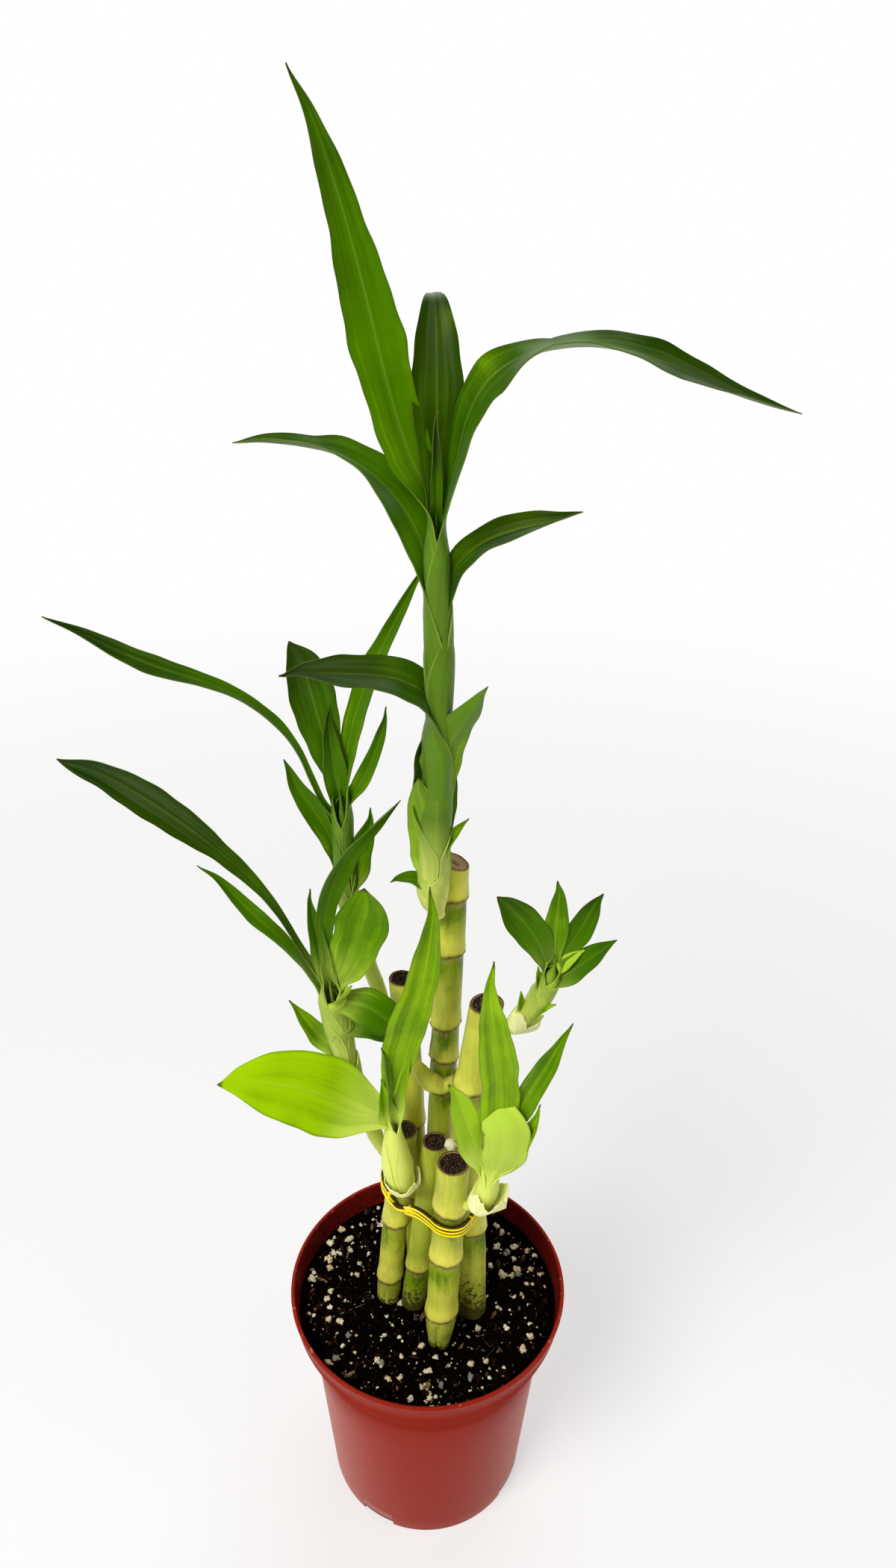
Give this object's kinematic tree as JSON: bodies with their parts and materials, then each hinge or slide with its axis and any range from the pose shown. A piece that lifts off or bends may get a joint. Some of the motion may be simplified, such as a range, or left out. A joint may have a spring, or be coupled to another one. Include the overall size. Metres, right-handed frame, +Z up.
{
  "type": "lucky bamboo in a nursery pot",
  "caption": "Potted lucky bamboo: cut canes held together by a wire tie, each with a leafy shoot, standing in potting soil in a round plastic nursery pot.",
  "frame": {"origin": "middle of the pot's flat base, on the surface that it stands on", "axes": "+Z up along the pot's axis, -Y towards the side that is seen from the front, +X to the right of that view"},
  "size_m": [0.1704, 0.0898, 0.4328],
  "materials": {
    "pot_plastic": "satin",
    "soil_mix": "matte",
    "cane_skin": "satin",
    "leaf_green": "satin",
    "papery_sheath": "matte",
    "tie_foil": "gloss"
  },
  "bodies": {
    "root": {"pot": "pot_plastic", "soil": "soil_mix", "wire_tie": "tie_foil", "cane_front": "cane_skin", "cane_left": "cane_skin", "cane_middle": "cane_skin", "cane_right": "cane_skin", "cane_tall": "cane_skin", "cane_back": "cane_skin", "shoot_top": "leaf_green", "shoot_back": "leaf_green", "shoot_left": "leaf_green", "shoot_centre": "leaf_green", "shoot_front": "leaf_green", "shoot_right": "leaf_green", "collar_centre": "papery_sheath", "collar_front": "papery_sheath", "collar_right": "papery_sheath"}
  },
  "joints": []
}
